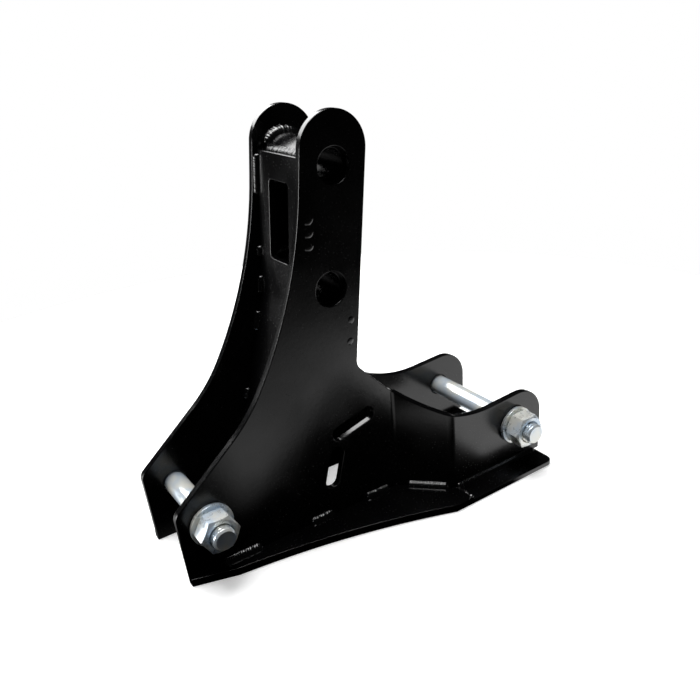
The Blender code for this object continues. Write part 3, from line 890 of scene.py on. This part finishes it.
TOP_BEAD_X = -0.0374
TOP_BEAD_HALF = INNER_HALF - 0.0040
shape = bmesh.new()
ends = [(TOP_BEAD_X, y, WEB_TOP_Z) for y in (-TOP_BEAD_HALF, TOP_BEAD_HALF)]
route, length = straight(*ends, (-1, 0, 0), UP)
add_bead(shape, route, length, 0.0036, 95)
finish_piece("web_to_tube_bead", shape, [weld_coat], "frame",
             sharp=75, flat_first=False)
print("welds inside:", pieces_made[-9:])

# %% [markdown]
# The webs have tabs that reach into slots in the cheeks and are plug welded there. Ground down and
# coated, each plug is a low round bump on the cheek's outer face.


# %% Plug welds on the cheeks
def add_dome(shape, x, z, face_y, side, radius, height, seed):
    luck = random.Random(seed)
    rows = []
    for level in range(6):
        turn = math.pi / 2 * level / 5
        row = []
        for k in range(28):
            angle = 2 * math.pi * k / 28
            wobble = 1 + 0.05 * math.sin(2 * angle + seed) + 0.02 * luck.uniform(-1, 1)
            reach = radius * wobble * math.cos(turn * 0.96)
            row.append(shape.verts.new((
                x + reach * math.cos(angle), face_y + side * height * math.sin(turn),
                z + reach * math.sin(angle),
            )))
        rows.append(row)
    shape.faces.new(rows[0])
    shape.faces.new(rows[-1])
    for lower, upper in zip(rows, rows[1:]):
        for here in range(28):
            there = (here + 1) % 28
            shape.faces.new((lower[here], lower[there], upper[there], upper[here]))


FRONT_PLUGS = (0.2228, 0.2146, 0.2064)  # heights of the front web's plugs
REAR_PLUGS = (0.1500, 0.1350)
for label, side, joggle in SIDES:
    shape = bmesh.new()
    for number, z in enumerate(FRONT_PLUGS):
        x = web_path((z - WEB_BEND_Z) / math.cos(UPPER_LEAN))[0] + WEB_T / 2
        add_dome(shape, x, z, side * HALF, side, 0.0034, 0.0005, number)
    for number, z in enumerate(REAR_PLUGS):
        x = foot[0] + (z - foot[1]) * math.tan(lean) + REAR_WEB_T / 2
        add_dome(shape, x, z, side * HALF, side, 0.0026, 0.0003, number + 5)
    finish_piece(f"{label}_plug_welds", shape, [weld_coat], "frame",
                 sharp=75, flat_first=False)
print("plugs:", pieces_made[-2:])

# %% [markdown]
# Bolts, nuts and washers. A hexagon is a ring whose radius follows the flats. The turned chamfer
# of a nut or head is a cone, and where the cone meets the flats it leaves their rounded corners.
# The thread is a real spiral: rings an eighth of a pitch apart, whose radius follows a triangle
# wave that moves round the bolt as it climbs.

# %% Fasteners
BOLT_R = 0.0080
PITCH = 0.0020
APOTHEM = 0.0120
AROUND = 96
CHAMFER = math.tan(math.radians(30))
CONE_R = 0.0114


def hexagon(angle):
    return APOTHEM / math.cos((angle % (math.pi / 3)) - math.pi / 6)


def hexagon_ring(along, toward):
    """A ring round the flats, pulled back from a face by the chamfer's cone."""
    def ring(angle):
        radius = hexagon(angle)
        return radius - 0.0001, along + toward * max(0.0, radius - CONE_R) * CHAMFER
    return ring


def thread_ring(along, depth):
    def ring(angle):
        climb = (along / PITCH - angle / (2 * math.pi)) % 1.0
        wave = abs(2 * climb - 1)
        crest = min(max(1.35 * wave - 0.15, 0.0), 1.0)
        return BOLT_R - 0.00012 - depth * (1 - crest), along
    return ring


def bolt_piece(label, node):
    low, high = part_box(node)
    middle = middle_of(node)
    x, z = middle.x - datum.x, middle.z - datum.z
    tip = low.y - datum.y
    top = high.y - datum.y
    head = top - 0.0100
    thread_end = tip + 0.0380
    rings = [flat_ring(0.0040, tip + 0.0003), flat_ring(BOLT_R - 0.0014, tip)]
    steps = int((thread_end - tip - 0.0012) / PITCH * 8)
    for k in range(steps + 1):
        along = tip + 0.0012 + PITCH * k / 8
        fade = min(1.0, (steps - k) / 8, 0.25 + k / 10)
        rings.append(thread_ring(along, 0.00105 * fade))
    shank_start = tip + 0.0012 + PITCH * steps / 8
    rings += [flat_ring(BOLT_R - 0.0001, shank_start + 0.0004), flat_ring(BOLT_R - 0.0001, head)]
    rings += [
        flat_ring(CONE_R, head), flat_ring(CONE_R, head + 0.0003),
        hexagon_ring(head + 0.0004, 1), hexagon_ring(top, -1), flat_ring(CONE_R, top),
        flat_ring(CONE_R - 0.0010, top), flat_ring(CONE_R - 0.0014, top - 0.0003),
        flat_ring(0.0040, top - 0.0003),
    ]
    shape = shifted(turned(rings, AROUND, False), x, 0, z)
    finish_piece(f"{label}_bolt_plated", shape, [smooth_zinc], f"{label}_bolt",
                 [node], sharp=28)


def nut_piece(label, node):
    low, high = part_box(node)
    middle = middle_of(node)
    x, z = middle.x - datum.x, middle.z - datum.z
    bottom, top = low.y - datum.y, high.y - datum.y
    bore = BOLT_R + 0.0002
    rings = [
        flat_ring(bore, bottom + 0.0009), flat_ring(bore + 0.0008, bottom), flat_ring(CONE_R, bottom),
        hexagon_ring(bottom, 1), hexagon_ring(top, -1), flat_ring(CONE_R, top),
        flat_ring(bore + 0.0008, top), flat_ring(bore, top - 0.0009),
    ]
    shape = shifted(turned(rings, AROUND, True), x, 0, z)
    finish_piece(f"{label}_nut_plated", shape, [pressed_zinc], f"{label}_nut",
                 [node], sharp=28)


def washer_piece(name, node, body):
    low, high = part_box(node)
    middle = middle_of(node)
    rings = tube_rings(0.0085, (high.z - low.z) / 2, low.y - datum.y, high.y - datum.y, 0.0005)
    shape = shifted(turned(rings, AROUND, True), middle.x - datum.x, 0, middle.z - datum.z)
    finish_piece(name, shape, [pressed_zinc], body, [node])


for label in ("toe", "heel"):
    bolt_piece(label, f"{label}_bolt")
    nut_piece(label, f"{label}_nut")
    washer_piece(f"{label}_nut_washer_plated", f"{label}_nut_washer", f"{label}_nut_washer")
    washer_piece(f"{label}_head_washer_plated", f"{label}_head_washer", f"{label}_bolt")
print("fasteners:", pieces_made[-8:])

# %% [markdown]
# The stage: a pale round floor under soft light. Gloss black shows nothing but what it reflects,
# so its reflections are painted apart from what the camera sees. The camera sees a pale floor in a
# plain white room. Every other ray sees a nearly dark room, and a floor that glows in two painted
# patches though it is no lamp. They are painted reflections: one in front of the near plate, which
# fills the cheek and the ear, and one behind the toe, which draws the front web and the cut edges.

# %% Floor and room
floor_shape = bmesh.new()
bmesh.ops.create_circle(floor_shape, cap_ends=True, segments=96, radius=0.62)
floor_mesh = bpy.data.meshes.new("floor")
floor_shape.to_mesh(floor_mesh)
floor_shape.free()
floor = bpy.data.objects.new("floor", floor_mesh)
bpy.context.scene.collection.objects.link(floor)
floor.location = (0, 0, -0.0002)
floor_finish, floor_shader, floor_place = new_finish("pale_floor_with_painted_reflections", Roughness=0.85)
floor_shader.inputs["Base Color"].default_value = (0.86, 0.86, 0.86, 1)
floor_shader.inputs["Emission Color"].default_value = (1, 1, 1, 1)
floor_shader.inputs["Emission Strength"].default_value = 0.45
along, across = [
    floor_place.node("ShaderNodeSeparateXYZ", {}, {"Vector": floor_place}, axis) for axis in range(2)
]
front = 0 - across
# The front painted reflection leaves out a wedge along the near wing, a painted shadow, and is stronger in
# front of the ear.
outside_painted_shadow = 1 - (1 - (front - along * 0.75).above(0.120, 0.025)) * (1 - along.above(0.100, 0.015))
painted_reflection_strength = 0.60 + 0.45 * along.above(0.02, 0.12)
front_painted_reflection = along.above(-0.095, 0.05) * painted_reflection_strength * outside_painted_shadow * (1 - front.above(0.12, 0.30))
# Painted reflection behind the toe: a glow that draws the front web and the cut edges in the object's
# reflections.
back_painted_reflection = (0 - along).above(0.02, 0.20) * across.above(0.02, 0.10) * (1 - across.above(0.45, 0.30))
painted_reflection_glow = front_painted_reflection + back_painted_reflection * 0.8
# The floor as every ray but the camera's sees it: black, glowing only in the painted reflection patches.
painted_reflection_floor = floor_place.node("ShaderNodeBsdfPrincipled", {}, {
    "Base Color": (0, 0, 0, 1), "Specular IOR Level": 0, "Emission Strength": 1.4,
    "Emission Color": painted_reflection_glow.between((0, 0, 0), (1, 1, 1)),
})


def split_by_camera(value, others, camera):
    """One shader for what the camera sees directly and another for every other ray."""
    seen = value.node("ShaderNodeLightPath")
    return value.node("ShaderNodeMixShader", {}, {0: seen, 1: others, 2: camera})


direct = Value(floor_place.tree, floor_shader.outputs[0])
floor_split = split_by_camera(floor_place, painted_reflection_floor, direct)
floor_output = floor_place.tree.nodes["Material Output"]
floor_place.tree.links.new(floor_split.socket, floor_output.inputs["Surface"])
floor_mesh.materials.append(floor_finish)

world = bpy.data.worlds.new("room")
bpy.context.scene.world = world
world.use_nodes = True
room = Value(world.node_tree, world.node_tree.nodes["Background"].outputs[0])
plain = room.node("ShaderNodeBackground", {}, {"Color": (1, 1, 1, 1), "Strength": 1.0})
dim = room.node("ShaderNodeBackground", {}, {"Color": (1, 1, 1, 1), "Strength": 0.008})
mixed = split_by_camera(room, dim, plain)
world.node_tree.links.new(mixed.socket, world.node_tree.nodes["World Output"].inputs["Surface"])

# %% [markdown]
# Three soft lamps: a broad one overhead that whitens the floor, one on the toe side that draws
# bright lines along the cut edges, and a long one behind that draws a stripe along every round
# piece: the two bolt shanks, the tubes and the weld beads.


# %% Lamps
def soft_lamp(name, place, target, size, power):
    lamp = bpy.data.lights.new(name, "AREA")
    lamp.shape = "RECTANGLE"
    lamp.size, lamp.size_y = size
    lamp.energy = power
    holder = bpy.data.objects.new(name, lamp)
    bpy.context.scene.collection.objects.link(holder)
    holder.location = place
    holder.rotation_mode = "QUATERNION"
    holder.rotation_quaternion = (Vector(target) - Vector(place)).to_track_quat("-Z", "Y")
    return holder


soft_lamp("overhead_lamp", (-0.1, 0.2, 1.6), (0, 0, 0), (1.1, 0.8), 34)
soft_lamp("toe_side_lamp", (-0.90, 0.43, 0.10), (0, 0, 0.1), (0.60, 0.40), 7)
soft_lamp("back_lamp", (-0.12, 1.0, 0.88), (0, 0, 0.1), (1.15, 0.55), 15)

# %% [markdown]
# The camera stands to the left of the near side and a little above, with a slight roll.

# %% Camera
AZIMUTH = math.radians(-32.589)
ELEVATION = math.radians(24.260)
ROLL = math.radians(-4.035)
DISTANCE = 0.5441
TARGET = Vector((0, 0, 0.11143))
back = Vector((math.sin(AZIMUTH) * math.cos(ELEVATION), -math.cos(AZIMUTH) * math.cos(ELEVATION),
               math.sin(ELEVATION)))
level_right = (-back).cross(Vector((0, 0, 1))).normalized()
level_up = level_right.cross(-back)
right = math.cos(ROLL) * level_right + math.sin(ROLL) * level_up
up = math.cos(ROLL) * level_up - math.sin(ROLL) * level_right
camera = bpy.data.objects.new("camera", bpy.data.cameras.new("camera"))
bpy.context.scene.collection.objects.link(camera)
camera.data.sensor_width = 36.0
camera.data.lens = 38.26
camera.matrix_world = Matrix((
    (right.x, up.x, back.x, 0), (right.y, up.y, back.y, 0), (right.z, up.z, back.z, 0), (0, 0, 0, 1),
))
camera.location = datum + TARGET + DISTANCE * back
camera.data.clip_start = 0.01
bpy.context.scene.camera = camera
bpy.context.scene.view_settings.view_transform = "Standard"
print("camera at", [round(part, 3) for part in camera.location])

# %% Count the pieces
print("pieces:", len(pieces_made))
